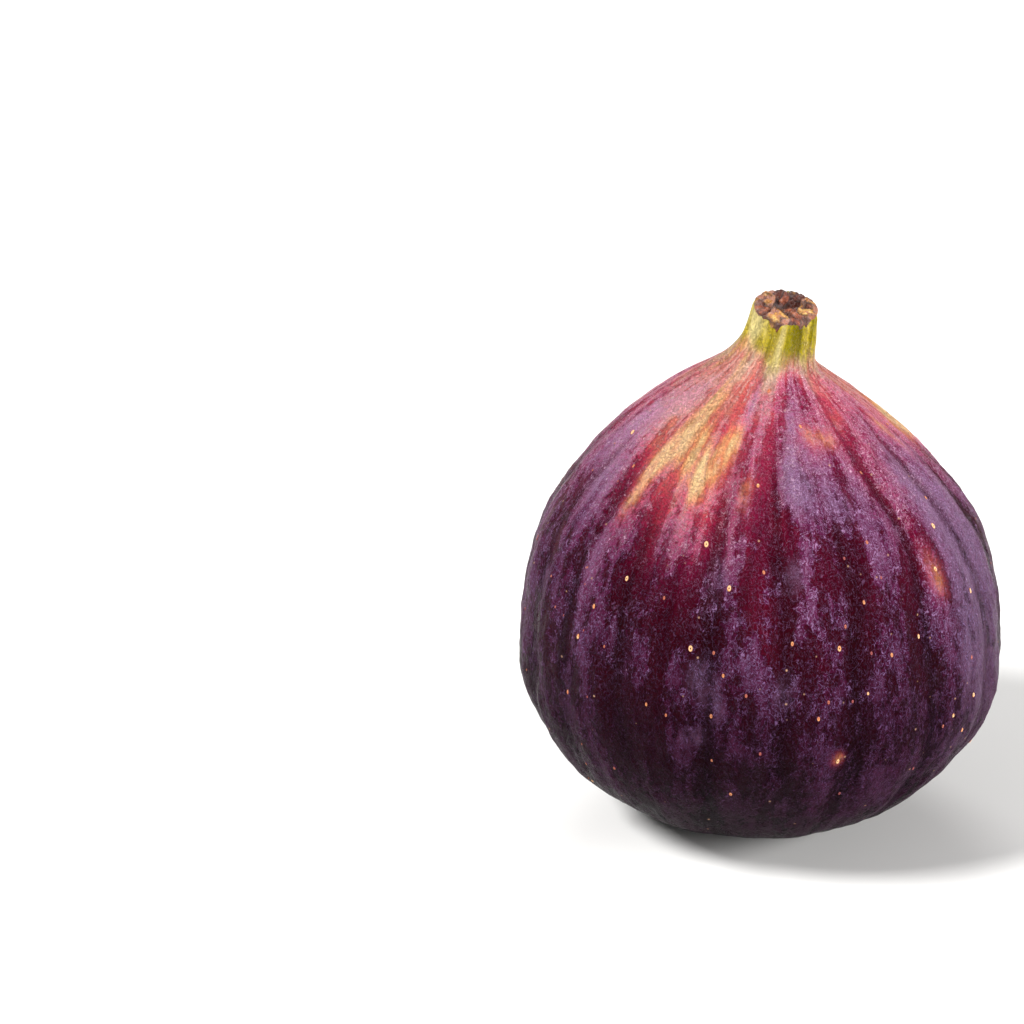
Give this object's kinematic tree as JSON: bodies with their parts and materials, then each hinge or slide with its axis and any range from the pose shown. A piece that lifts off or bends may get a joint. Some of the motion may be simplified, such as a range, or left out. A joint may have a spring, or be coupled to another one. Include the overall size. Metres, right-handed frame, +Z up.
{
  "type": "fresh fig",
  "caption": "Whole ripe purple fig standing on its base: squat teardrop body with shallow ribs, tapering to a short cut stalk; a small eye is sunk in the underside.",
  "frame": {"origin": "middle of the flattened base, on the surface the fig stands on", "axes": "+Z up through the fruit to the stalk, -Y the front, +X the side the stalk leans to"},
  "size_m": [0.0555, 0.0553, 0.0625],
  "materials": {
    "fig_skin": "satin skin with a dusty bloom, dark violet on the belly, rose and cream at the neck, olive green stalk"
  },
  "bodies": {
    "root": {"fig": "fig_skin"}
  },
  "joints": []
}
